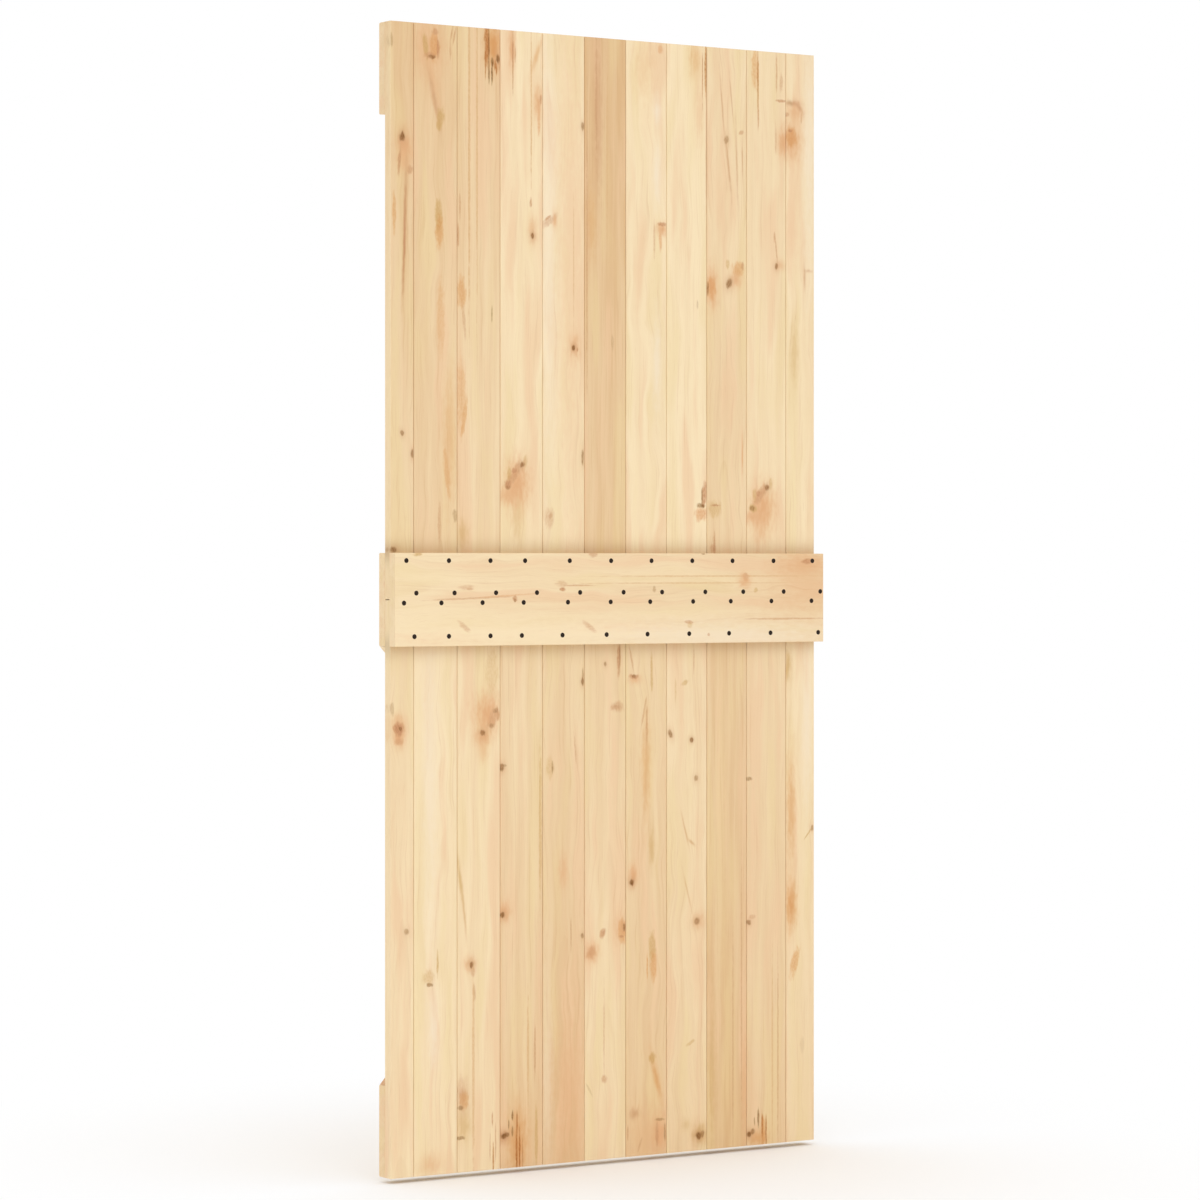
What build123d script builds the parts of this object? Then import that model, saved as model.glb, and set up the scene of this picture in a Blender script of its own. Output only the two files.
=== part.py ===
"""A sliding barn door leaf in natural pine.

Tongue and groove boards stand in two tiers that butt at mid-height. Three battens and a crossed
brace lie on the front, and a fourth batten covers the butt joint on the back.

Millimetres. X runs along the width, +Y points out of the front, Z is up. The origin is the centre
of the top batten's front face, where the hanger straps bolt on.
"""
from build123d import *
from math import asin, atan2, degrees, hypot
import os

# Door leaf
door_width = 950.0
door_height = 2100.0
tier_gap = 1.5

# Tongue and groove boards
board_cover = 92.6
board_thickness = 20.0
first_board_width = 49.4
last_board_aim = 67.0
seam_gap = 0.7
tongue_length = 8.0
tongue_thickness = 6.0
tongue_lead = 1.0
groove_clearance = 0.25
back_arris = 1.1
front_vee = 2.5

# Battens
batten_thickness = 20.0
end_batten_height = 167.0
middle_batten_height = 170.0
batten_edge_radius = 3.0
back_batten_edge_radius = 1.2
back_batten_left_overhang = 1.8
back_batten_right_overhang = 7.0

# Crossed brace in the lower field of the front
brace_width = 170.0
brace_joint = 0.4

# Levels and layers that follow from the sizes
door_left = -door_width / 2
door_right = door_width / 2
door_top = end_batten_height / 2
door_bottom = door_top - door_height
mid_height = (door_top + door_bottom) / 2
boards_front = -batten_thickness
boards_back = boards_front - board_thickness
boards_middle = (boards_front + boards_back) / 2
field_top = mid_height - middle_batten_height / 2
field_bottom = door_bottom + end_batten_height

# Board edges, each a run of points from the back face to the front face


def sawn_edge(x, inward):
    """The outer edge of a ripped board, cut square with its corners eased."""
    return [
        (x + inward * back_arris, boards_back),
        (x, boards_back + back_arris),
        (x, boards_front - back_arris),
        (x + inward * back_arris, boards_front),
    ]


def tongue_edge(seam):
    """The right edge of a board: a tongue with a lead on its tip."""
    shoulder = seam - seam_gap / 2
    tip = shoulder + tongue_length
    low = boards_middle - tongue_thickness / 2
    high = boards_middle + tongue_thickness / 2
    return [
        (shoulder - back_arris, boards_back),
        (shoulder, boards_back + back_arris),
        (shoulder, low),
        (tip - tongue_lead, low),
        (tip, low + tongue_lead),
        (tip, high - tongue_lead),
        (tip - tongue_lead, high),
        (shoulder, high),
        (shoulder, boards_front - front_vee),
        (shoulder - front_vee, boards_front),
    ]


def groove_edge(seam):
    """The left edge of a board: a groove that takes its neighbour's tongue."""
    shoulder = seam + seam_gap / 2
    bottom = seam - seam_gap / 2 + tongue_length + groove_clearance
    low = boards_middle - tongue_thickness / 2 - groove_clearance
    high = boards_middle + tongue_thickness / 2 + groove_clearance
    return [
        (shoulder + back_arris, boards_back),
        (shoulder, boards_back + back_arris),
        (shoulder, low),
        (bottom, low),
        (bottom, high),
        (shoulder, high),
        (shoulder, boards_front - front_vee),
        (shoulder + front_vee, boards_front),
    ]


def board_sections():
    """Each board's section from left to right, ripped at the door's two sides."""
    whole_boards = round((door_width - first_board_width - last_board_aim) / board_cover)
    seams = [door_left + first_board_width + i * board_cover for i in range(whole_boards + 1)]
    left_edges = [sawn_edge(door_left, 1)] + [groove_edge(seam) for seam in seams]
    right_edges = [tongue_edge(seam) for seam in seams] + [sawn_edge(door_right, -1)]
    return [
        make_face(Polyline(*right, *reversed(left), close=True))
        for left, right in zip(left_edges, right_edges)
    ]


def tier_of_boards(bottom, top):
    """One tier of boards, side by side between two levels."""
    return [Pos(0, 0, bottom) * extrude(section, amount=top - bottom) for section in board_sections()]


def plank(length, height, edge_radius):
    """A plank along X with its back at y = 0 and the long edges of its outer face eased."""
    section = Rectangle(batten_thickness, height, align=(Align.MIN, Align.CENTER))
    outer_corners = section.vertices().group_by(Axis.X)[-1]
    return extrude(Plane.YZ * fillet(outer_corners, edge_radius), amount=length / 2, both=True)


def front_batten(height, middle):
    """A batten on the front, as long as the door is wide."""
    return Pos(0, boards_front, middle) * plank(door_width, height, batten_edge_radius)


def back_batten():
    """The batten over the butt joint on the back, a little longer than the door is wide."""
    length = back_batten_left_overhang + door_width + back_batten_right_overhang
    shift = (back_batten_right_overhang - back_batten_left_overhang) / 2
    turned = Rot(0, 0, 180) * plank(length, middle_batten_height, back_batten_edge_radius)
    return Pos(shift, boards_back, mid_height) * turned


def crossed_brace():
    """One whole diagonal and the two halves that butt against it.

    The ends are cut level against the battens, and each tip reaches the door's side.
    """
    field_height = field_top - field_bottom - 2 * brace_joint
    diagonal = hypot(door_width, field_height)
    slope = degrees(atan2(field_height, door_width) + asin(brace_width / diagonal))
    at_field = Pos(0, boards_front, (field_top + field_bottom) / 2)
    field = at_field * Box(
        door_width, batten_thickness, field_height, align=(Align.CENTER, Align.MIN, Align.CENTER)
    )
    stock_length = 2 * diagonal
    stock = plank(stock_length, brace_width, batten_edge_radius)
    joint_cut = Box(
        stock_length,
        batten_thickness,
        brace_width + 2 * brace_joint,
        align=(Align.CENTER, Align.MIN, Align.CENTER),
    )
    whole = field & (at_field * Rot(0, -slope, 0) * stock)
    crossing = field & (at_field * Rot(0, slope, 0) * stock)
    halves = (crossing - at_field * Rot(0, -slope, 0) * joint_cut).solids().sort_by(Axis.Z)
    return whole.solid(), halves[-1], halves[0]


# Every piece by name
pieces = {}
for number, board in enumerate(tier_of_boards(mid_height + tier_gap / 2, door_top), start=1):
    pieces[f"upper_board_{number:02d}"] = board
for number, board in enumerate(tier_of_boards(door_bottom, mid_height - tier_gap / 2), start=1):
    pieces[f"lower_board_{number:02d}"] = board
pieces["front_top_batten"] = front_batten(end_batten_height, door_top - end_batten_height / 2)
pieces["front_middle_batten"] = front_batten(middle_batten_height, mid_height)
pieces["front_bottom_batten"] = front_batten(end_batten_height, door_bottom + end_batten_height / 2)
pieces["back_middle_batten"] = back_batten()
pieces["brace_whole"], pieces["brace_upper_half"], pieces["brace_lower_half"] = crossed_brace()

os.makedirs("parts", exist_ok=True)
for name, solid in pieces.items():
    export_step(solid, f"parts/{name}.step")
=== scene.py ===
import math
import bmesh
import bpy
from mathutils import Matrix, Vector


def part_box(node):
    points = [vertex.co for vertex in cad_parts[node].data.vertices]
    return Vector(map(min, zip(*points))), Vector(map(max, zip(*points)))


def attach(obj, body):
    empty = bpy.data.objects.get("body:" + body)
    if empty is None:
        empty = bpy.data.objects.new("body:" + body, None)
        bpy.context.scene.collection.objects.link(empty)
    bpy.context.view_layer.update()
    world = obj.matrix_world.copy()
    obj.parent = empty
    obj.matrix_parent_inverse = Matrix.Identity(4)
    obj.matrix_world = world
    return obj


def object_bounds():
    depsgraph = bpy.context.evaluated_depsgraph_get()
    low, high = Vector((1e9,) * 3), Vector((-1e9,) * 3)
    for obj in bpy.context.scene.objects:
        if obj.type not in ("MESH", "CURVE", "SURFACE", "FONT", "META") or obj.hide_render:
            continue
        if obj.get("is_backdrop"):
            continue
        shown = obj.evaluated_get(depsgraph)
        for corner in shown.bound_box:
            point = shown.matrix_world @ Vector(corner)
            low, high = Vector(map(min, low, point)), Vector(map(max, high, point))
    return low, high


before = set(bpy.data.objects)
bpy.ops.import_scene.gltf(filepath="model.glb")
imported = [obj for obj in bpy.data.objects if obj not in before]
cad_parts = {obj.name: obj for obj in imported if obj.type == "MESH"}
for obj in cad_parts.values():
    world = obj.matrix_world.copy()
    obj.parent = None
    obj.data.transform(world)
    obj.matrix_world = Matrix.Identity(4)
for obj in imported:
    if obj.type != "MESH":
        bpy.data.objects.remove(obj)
cad_low, cad_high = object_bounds()

# Upper boards
# Tongue and groove pine, planed and left bare. Eleven stand side by side behind the battens, the
# first and the last ripped narrower. Each shows its own rings, tone, knots and resin.
MM = 0.001


def tint(red, green, blue):
    """A colour as it looks on a screen, from 0 to 255, as the linear colour that a shader takes."""
    shares = [c / 255 for c in (red, green, blue)]
    return [c / 12.92 if c <= 0.04045 else ((c + 0.055) / 1.055) ** 2.4 for c in shares] + [1.0]


def add(tree, kind, *inputs, output=0, **settings):
    """Adds a node with its settings and its inputs, values or sockets, and gives one of its outputs."""
    node = tree.nodes.new(kind)
    for name, value in settings.items():
        setattr(node, name, value)
    for socket, value in zip(node.inputs, inputs):
        if isinstance(value, bpy.types.NodeSocket):
            tree.links.new(value, socket)
        elif value is not None:
            socket.default_value = value
    return node.outputs[output]


def calc(tree, operation, *values):
    """One step of arithmetic on numbers."""
    return add(tree, "ShaderNodeMath", *values, operation=operation)


def vector(tree, operation, *values):
    """One step of arithmetic on vectors."""
    return add(tree, "ShaderNodeVectorMath", *values, operation=operation)


def dot(tree, first, second):
    """How far one vector reaches along another."""
    return add(tree, "ShaderNodeVectorMath", first, second, operation="DOT_PRODUCT", output=1)


def length_of(tree, value):
    """The length of a vector."""
    return add(tree, "ShaderNodeVectorMath", value, operation="LENGTH", output=1)


def fade(tree, value, start, end):
    """A smooth step from 0 at start to 1 at end."""
    return add(tree, "ShaderNodeMapRange", value, start, end, 0.0, 1.0, interpolation_type="SMOOTHSTEP")


def bell(tree, value):
    """Falls from 1 at zero to nearly 0 at two."""
    return calc(tree, "EXPONENT", calc(tree, "MULTIPLY", calc(tree, "MULTIPLY", value, value), -1.0))


def mix(tree, share, first, second):
    """One colour over another, by a share from 0 to 1."""
    return add(tree, "ShaderNodeMix", share, *[None] * 5, first, second, output=2, data_type="RGBA")


def stretched_noise(tree, point, seed, across, along, detail=2.0, output=0):
    """Noise drawn out along the grain: its size in millimetres across the grain and along it."""
    scaled = vector(tree, "MULTIPLY", point, (1 / across, 1 / across, 1 / along))
    placed = vector(tree, "ADD", scaled, seed)
    return add(tree, "ShaderNodeTexNoise", placed, None, 1.0, detail, output=output)


def new_group(name, inputs, outputs):
    """An empty shader group with named sockets. It gives the tree, its inputs by name and its end node."""
    tree = bpy.data.node_groups.new(name, "ShaderNodeTree")
    for label, kind in inputs.items():
        tree.interface.new_socket(label, in_out="INPUT", socket_type="NodeSocket" + kind)
    for label, kind in outputs.items():
        tree.interface.new_socket(label, in_out="OUTPUT", socket_type="NodeSocket" + kind)
    start = tree.nodes.new("NodeGroupInput")
    return tree, start.outputs, tree.nodes.new("NodeGroupOutput")


def place_group(tree, group, **values):
    """Places a shader group in a tree, with its inputs by name, and gives its outputs."""
    node = tree.nodes.new("ShaderNodeGroup")
    node.node_tree = group
    for name, value in values.items():
        if isinstance(value, bpy.types.NodeSocket):
            tree.links.new(value, node.inputs[name])
        else:
            node.inputs[name].default_value = value
    return node.outputs


KNOT_SIDE_REACH = 2.6
KNOT_RISE_REACH = 4.0
KNOT_PULL = 0.8


def make_knot_flow():
    """Fibres part round a knot: points near it are drawn in to its line before the rings are read."""
    tree, given, end = new_group(
        "knot_flow",
        {"Point": "Vector", "Across": "Float", "Along": "Float", "Width": "Float", "Length": "Float"},
        {"Point": "Vector"},
    )
    parts = tree.nodes.new("ShaderNodeSeparateXYZ")
    tree.links.new(given["Point"], parts.inputs[0])
    side = calc(tree, "SUBTRACT", parts.outputs[0], given["Across"])
    rise = calc(tree, "SUBTRACT", parts.outputs[2], given["Along"])
    side_reach = calc(tree, "MULTIPLY", given["Width"], KNOT_SIDE_REACH)
    rise_reach = calc(tree, "MULTIPLY", given["Length"], KNOT_RISE_REACH)
    near_side = bell(tree, calc(tree, "DIVIDE", side, side_reach))
    near_rise = bell(tree, calc(tree, "DIVIDE", rise, rise_reach))
    near = calc(tree, "MULTIPLY", near_side, near_rise)
    pull = calc(tree, "MULTIPLY", side, calc(tree, "MULTIPLY", near, KNOT_PULL))
    drawn = calc(tree, "SUBTRACT", parts.outputs[0], pull)
    parted = add(tree, "ShaderNodeCombineXYZ", drawn, parts.outputs[1], parts.outputs[2])
    tree.links.new(parted, end.inputs["Point"])
    return tree


# The size of each part of the grain, across it and along it, in millimetres.
GRAIN_SIZES = dict(
    sway=(60.0, 150.0),
    bend=(260.0, 520.0),
    ripple=(14.0, 130.0),
    calm=(45.0, 420.0),
    streak=(17.0, 480.0),
    dash=(3.4, 170.0),
    fibre=(0.7, 26.0),
    flush=(38.0, 330.0),
)
FINE_DETAIL = 3.0
SWAY = 1.8
RIPPLE = 2.4
TRUNK_TAPER = 0.018
GOOD_YEARS_PACE = 0.3
GOOD_YEARS_SPREAD = 2.2
SEASON_DARKENS = (0.25, 0.92)
SEASON_ENDS = (1.0, 0.94)
FAINTEST_RING = 0.15
CALM_RANGE = (0.38, 0.62)
CALM_SHARE = 0.75


def make_growth_rings():
    """Yearly rings round a pith that wanders along the board, as they meet any face of it. They narrow
    as the trunk rises, which draws arches on boards cut near its middle."""
    tree, given, end = new_group(
        "growth_rings",
        {"Point": "Vector", "Pith": "Vector", "Ring": "Float", "Wander": "Float", "Seed": "Vector"},
        {"Latewood": "Float", "Streak": "Float", "Dash": "Float", "Fibre": "Float", "Flush": "Float"},
    )

    def grown(part, point, detail=2.0):
        """The noise of one part of the grain, from 0 to 1."""
        return stretched_noise(tree, point, given["Seed"], *GRAIN_SIZES[part], detail)

    sway = calc(tree, "SUBTRACT", grown("sway", given["Point"]), 0.5)
    sway = calc(tree, "MULTIPLY", sway, calc(tree, "MULTIPLY", given["Wander"], SWAY))
    swayed = vector(tree, "ADD", given["Point"], add(tree, "ShaderNodeCombineXYZ", sway, 0.0, 0.0))
    from_pith = vector(tree, "SUBTRACT", swayed, given["Pith"])
    from_pith = vector(tree, "MULTIPLY", from_pith, (1.0, 1.0, 0.0))
    bend = calc(tree, "MULTIPLY", calc(tree, "SUBTRACT", grown("bend", swayed), 0.5), given["Wander"])
    ripple = calc(tree, "MULTIPLY", calc(tree, "SUBTRACT", grown("ripple", swayed), 0.5), RIPPLE)
    taper = dot(tree, given["Point"], (0.0, 0.0, TRUNK_TAPER))
    reach = calc(tree, "ADD", length_of(tree, from_pith), taper)
    reach = calc(tree, "ADD", reach, calc(tree, "ADD", bend, ripple))
    years = calc(tree, "DIVIDE", reach, given["Ring"])
    paced = calc(tree, "MULTIPLY", years, GOOD_YEARS_PACE)
    good_years = add(tree, "ShaderNodeTexNoise", None, paced, 1.0, 1.0, noise_dimensions="1D")
    years = calc(tree, "ADD", years, calc(tree, "MULTIPLY", good_years, GOOD_YEARS_SPREAD))
    season = calc(tree, "FRACT", years)
    late = calc(tree, "MULTIPLY", fade(tree, season, *SEASON_DARKENS), fade(tree, season, *SEASON_ENDS))
    luck = add(tree, "ShaderNodeTexWhiteNoise", None, calc(tree, "FLOOR", years), noise_dimensions="1D")
    weight = calc(tree, "ADD", calc(tree, "POWER", luck, 2.0), FAINTEST_RING)
    calm = calc(tree, "MULTIPLY", fade(tree, grown("calm", swayed), *CALM_RANGE), CALM_SHARE)
    calm = calc(tree, "ADD", calm, 1 - CALM_SHARE)
    late = calc(tree, "MULTIPLY", late, calc(tree, "MULTIPLY", weight, calm))
    tree.links.new(late, end.inputs["Latewood"])
    tree.links.new(grown("streak", swayed), end.inputs["Streak"])
    tree.links.new(grown("dash", swayed, FINE_DETAIL), end.inputs["Dash"])
    tree.links.new(grown("fibre", swayed, FINE_DETAIL), end.inputs["Fibre"])
    tree.links.new(grown("flush", swayed), end.inputs["Flush"])
    return tree


def mark_distance(tree, given):
    """How far a point lies from a mark's centre: 1 at the mark's edge, which a noise makes ragged."""
    offset = vector(tree, "SUBTRACT", given["Point"], given["Centre"])
    side = dot(tree, offset, given["Side"])
    run = dot(tree, offset, given["Run"])
    oval = add(tree, "ShaderNodeCombineXYZ", side, 0.0, run)
    return length_of(tree, vector(tree, "ADD", oval, given["Ragged"]))


def make_soft_mark():
    """A soft oval of another tint in the wood, fading out from its middle."""
    tree, given, end = new_group(
        "soft_mark",
        {"Color": "Color", "Point": "Vector", "Ragged": "Vector", "Centre": "Vector", "Side": "Vector",
         "Run": "Vector", "Reach": "Float", "Tint": "Color", "Share": "Float"},
        {"Color": "Color"},
    )
    distance = calc(tree, "DIVIDE", mark_distance(tree, given), given["Reach"])
    share = calc(tree, "MULTIPLY", bell(tree, distance), given["Share"])
    tree.links.new(mix(tree, share, given["Color"], given["Tint"]), end.inputs["Color"])
    return tree


EDGE_OUTSIDE = 1.4
EDGE_INSIDE = 0.55


def make_ragged_mark():
    """An uneven oval in the wood with a ragged edge and a patchy fill, such as a knot or a resin pocket."""
    tree, given, end = new_group(
        "ragged_mark",
        {"Color": "Color", "Point": "Vector", "Ragged": "Vector", "Patchy": "Float", "Centre": "Vector",
         "Side": "Vector", "Run": "Vector", "Tint": "Color", "Share": "Float"},
        {"Color": "Color", "Mark": "Float"},
    )
    inside = fade(tree, mark_distance(tree, given), EDGE_OUTSIDE, EDGE_INSIDE)
    share = calc(tree, "MULTIPLY", inside, calc(tree, "MULTIPLY", given["Patchy"], given["Share"]))
    tree.links.new(mix(tree, share, given["Color"], given["Tint"]), end.inputs["Color"])
    tree.links.new(share, end.inputs["Mark"])
    return tree


knot_flow = make_knot_flow()
growth_rings = make_growth_rings()
soft_mark = make_soft_mark()
ragged_mark = make_ragged_mark()

SAPWOOD = tint(253, 231, 191)
PALE = tint(251, 233, 206)
HEARTWOOD = tint(224, 182, 132)
LATEWOOD = tint(205, 152, 96)
ROSY = tint(243, 205, 164)
STRAW = tint(241, 217, 162)
BARK = tint(126, 82, 38)
RED = tint(192, 132, 90)
PINK = tint(230, 178, 130)
RESIN = tint(216, 148, 84)
AMBER = tint(180, 110, 52)
OCHRE = tint(208, 166, 104)
EYE_GAMMA = 2.2
COLLAR_SHARE = 0.45
COLLAR_REACH = 1.9
LIVE_GLOW_SHARE = 0.7
LIVE_GLOW_REACH = 1.6
LIVE_CORE_SHARE = 0.85


def stained(colour, share, **more):
    """A mark's tint and strength. Marks blend as the eye sees colours, so that a faint brown stays brown."""
    return dict(Tint=[c ** (1 / EYE_GAMMA) for c in colour], Share=share, **more)


def mark(across, along, width, length, lean, glow=None, core=None, branch=False):
    """What a mark in the wood takes: its place and half sizes in millimetres, its lean to the right in
    degrees, and the tint and strength of its glow and of its core. Fibres part round a branch."""
    turn = math.radians(lean)
    return dict(
        shape=dict(
            Centre=(across, 0.0, along),
            Side=(math.cos(turn) / width, 0.0, -math.sin(turn) / width),
            Run=(math.sin(turn) / length, 0.0, math.cos(turn) / length),
        ),
        flow=dict(Across=across, Along=along, Width=width, Length=length) if branch else None,
        glow=glow,
        core=core,
    )


def knot(across, along, width, length, dark, lean=0.0):
    """The cut end of a branch, brown in a faint red collar."""
    collar = stained(RED, COLLAR_SHARE * dark, Reach=COLLAR_REACH)
    return mark(across, along, width, length, lean, collar, stained(BARK, dark), branch=True)


def red_knot(across, along, width, length, lean=0.0):
    """A live branch, grown in and red."""
    glow = stained(PINK, LIVE_GLOW_SHARE, Reach=LIVE_GLOW_REACH)
    return mark(across, along, width, length, lean, glow, stained(RED, LIVE_CORE_SHARE), branch=True)


def patch(across, along, width, length, colour, share, lean=0.0):
    """A resin pocket, streak or stain with an edge."""
    return mark(across, along, width, length, lean, core=stained(colour, share))


def stain(across, along, width, length, colour, share, lean=0.0):
    """A stain without an edge."""
    return mark(across, along, width, length, lean, glow=stained(colour, share, Reach=1.0))


# How strongly each part of the grain shows, and the range of its noise over which it comes in.
STREAK_STRENGTH = 1.1
STREAK_RANGE = (0.3, 0.7)
ROSY_SHARE = 0.6
ROSY_RANGE = (0.5, 0.68)
STRAW_SHARE = 0.4
STRAW_RANGE = (0.5, 0.32)
RING_STRENGTH = 0.8
DASH_STRENGTH = 1.4
DASH_RANGE = (0.54, 0.8)
FIBRE_SHARE = 0.2
FIBRE_RANGE = (0.55, 0.8)
SEED_STEPS = (3.1, 1.7, 5.3)
RAGGED_SIZE = (7.0, 18.0)
RAGGEDNESS = 1.3
PATCHY_SIZE = (2.5, 6.0)
PATCHY_RANGE = (0.35, 0.65)
LEAST_FILL = 0.65
# The tint, reach and strength of a painted shade along a batten's edge, standing in for its contact shadow.
PAINTED_SHADE = tint(130, 102, 74)
PAINTED_SHADE_REACH = 20.0
PAINTED_SHADE_SHARE = 0.27
END_GRAIN_SHARE = 0.15
END_GRAIN_RANGE = (0.6, 0.9)
RING_RELIEF = 0.6
KNOT_HOLLOW = 0.8
RELIEF_STRENGTH = 0.25
RELIEF_HEIGHT = 0.2 * MM
PINE_ROUGHNESS = 0.66
LATEWOOD_GLOSS = 0.12
PINE_SPECULAR = 0.25


def pine(name, origin, across, along, tone, length, pith, ring, wander, lines, seed, marks, corner=None):
    """Bare planed pine. The grain runs along one axis from an origin, in millimetres; tone is how brown the
    wood is at the start and the end of its length, lines is how strongly the rings show, and corner is how
    far along a batten's edge crosses, where a band of painted shade stands in for the batten's shadow."""
    material = bpy.data.materials.new(name)
    material.use_nodes = True
    tree = material.node_tree
    shader = tree.nodes["Principled BSDF"]
    coordinates = tree.nodes.new("ShaderNodeTexCoord")
    in_mm = vector(tree, "MULTIPLY", coordinates.outputs["Object"], (1 / MM,) * 3)
    offset = vector(tree, "SUBTRACT", in_mm, origin)
    side = dot(tree, offset, across)
    depth = dot(tree, offset, (0, 1, 0))
    up_grain = dot(tree, offset, along)
    point = add(tree, "ShaderNodeCombineXYZ", side, depth, up_grain)

    def lay(share, strength, over, colour):
        """Lays a colour over another, by a share that varies and its strength."""
        return mix(tree, calc(tree, "MULTIPLY", share, strength), over, colour)

    parted = point
    for spot in marks:
        if spot["flow"]:
            parted = place_group(tree, knot_flow, Point=parted, **spot["flow"])["Point"]
    rings = place_group(
        tree, growth_rings, Point=parted, Pith=(*pith, 0.0), Ring=ring, Wander=wander,
        Seed=[seed * step for step in SEED_STEPS],
    )
    brown = calc(tree, "ADD", calc(tree, "MULTIPLY", up_grain, (tone[1] - tone[0]) / length), tone[0])
    streak = calc(tree, "SUBTRACT", fade(tree, rings["Streak"], *STREAK_RANGE), 0.5)
    streak = calc(tree, "MULTIPLY", streak, STREAK_STRENGTH * lines)
    brown = add(tree, "ShaderNodeClamp", calc(tree, "ADD", brown, streak))
    colour = mix(tree, brown, SAPWOOD, HEARTWOOD)
    colour = lay(fade(tree, rings["Flush"], *ROSY_RANGE), ROSY_SHARE, colour, ROSY)
    colour = lay(fade(tree, rings["Flush"], *STRAW_RANGE), STRAW_SHARE, colour, STRAW)
    colour = lay(rings["Latewood"], RING_STRENGTH * lines, colour, LATEWOOD)
    colour = lay(fade(tree, rings["Dash"], *DASH_RANGE), DASH_STRENGTH * lines, colour, LATEWOOD)
    colour = lay(fade(tree, rings["Fibre"], *FIBRE_RANGE), FIBRE_SHARE, colour, LATEWOOD)

    ragged = stretched_noise(tree, point, (0.0, 0.0, 0.0), *RAGGED_SIZE, output=1)
    ragged = vector(tree, "SUBTRACT", ragged, (0.5, 0.5, 0.5))
    ragged = vector(tree, "MULTIPLY", ragged, (RAGGEDNESS, 0.0, RAGGEDNESS))
    patchy = fade(tree, stretched_noise(tree, point, (0.0, 0.0, 0.0), *PATCHY_SIZE), *PATCHY_RANGE)
    patchy = calc(tree, "ADD", calc(tree, "MULTIPLY", patchy, 1 - LEAST_FILL), LEAST_FILL)
    colour = add(tree, "ShaderNodeGamma", colour, 1 / EYE_GAMMA)
    knots = 0.0
    for spot in marks:
        if spot["glow"]:
            colour = place_group(tree, soft_mark, Color=colour, Point=point, Ragged=ragged,
                                 **spot["shape"], **spot["glow"])["Color"]
        if spot["core"]:
            filled = place_group(tree, ragged_mark, Color=colour, Point=point, Ragged=ragged, Patchy=patchy,
                                 **spot["shape"], **spot["core"])
            colour = filled["Color"]
            knots = calc(tree, "MAXIMUM", knots, filled["Mark"]) if spot["flow"] else knots
    colour = add(tree, "ShaderNodeGamma", colour, EYE_GAMMA)
    # Painted shade: a darker band on the boards along the batten's edge, where its contact shadow falls.
    if corner is not None:
        away = calc(tree, "DIVIDE", calc(tree, "SUBTRACT", up_grain, corner), PAINTED_SHADE_REACH)
        colour = lay(bell(tree, away), PAINTED_SHADE_SHARE, colour, PAINTED_SHADE)
    end_face = calc(tree, "ABSOLUTE", dot(tree, coordinates.outputs["Normal"], along))
    colour = lay(fade(tree, end_face, *END_GRAIN_RANGE), END_GRAIN_SHARE, colour, HEARTWOOD)

    height = calc(tree, "ADD", calc(tree, "MULTIPLY", rings["Latewood"], RING_RELIEF), rings["Fibre"])
    height = calc(tree, "SUBTRACT", height, calc(tree, "MULTIPLY", knots, KNOT_HOLLOW))
    bump = tree.nodes.new("ShaderNodeBump")
    bump.inputs["Strength"].default_value = RELIEF_STRENGTH
    bump.inputs["Distance"].default_value = RELIEF_HEIGHT
    tree.links.new(height, bump.inputs["Height"])
    gloss = calc(tree, "MULTIPLY", rings["Latewood"], LATEWOOD_GLOSS)
    tree.links.new(colour, shader.inputs["Base Color"])
    tree.links.new(calc(tree, "SUBTRACT", PINE_ROUGHNESS, gloss), shader.inputs["Roughness"])
    tree.links.new(bump.outputs[0], shader.inputs["Normal"])
    shader.inputs["Specular IOR Level"].default_value = PINE_SPECULAR
    return material


def dress(node, material):
    """Gives a CAD piece its finish."""
    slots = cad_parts[node].data.materials
    slots.clear()
    slots.append(material)


door_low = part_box("lower_board_01")[0] / MM
door_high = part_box("upper_board_11")[1] / MM
batten_foot, batten_head = (corner.z / MM - door_low.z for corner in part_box("back_middle_batten"))
ACROSS = (1.0, 0.0, 0.0)
UP = (0.0, 0.0, 1.0)


def dress_board(node, seed, tone, pith, ring, wander, lines, marks):
    """Finishes a board. Marks lie across from its left edge and up from the door's bottom; tone is given
    at its foot and its head, the pith across from its left edge and forward from its back."""
    low, high = (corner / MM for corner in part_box(node))
    origin = (low.x, low.y, door_low.z)
    foot = low.z - door_low.z
    length = high.z - low.z
    rise = (tone[1] - tone[0]) * foot / length
    tone = (tone[0] - rise, tone[1] - rise)
    corner = batten_head if low.z > door_low.z else batten_foot
    dress(node, pine(node, origin, ACROSS, UP, tone, length, pith, ring, wander, lines, seed, marks, corner))


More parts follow.
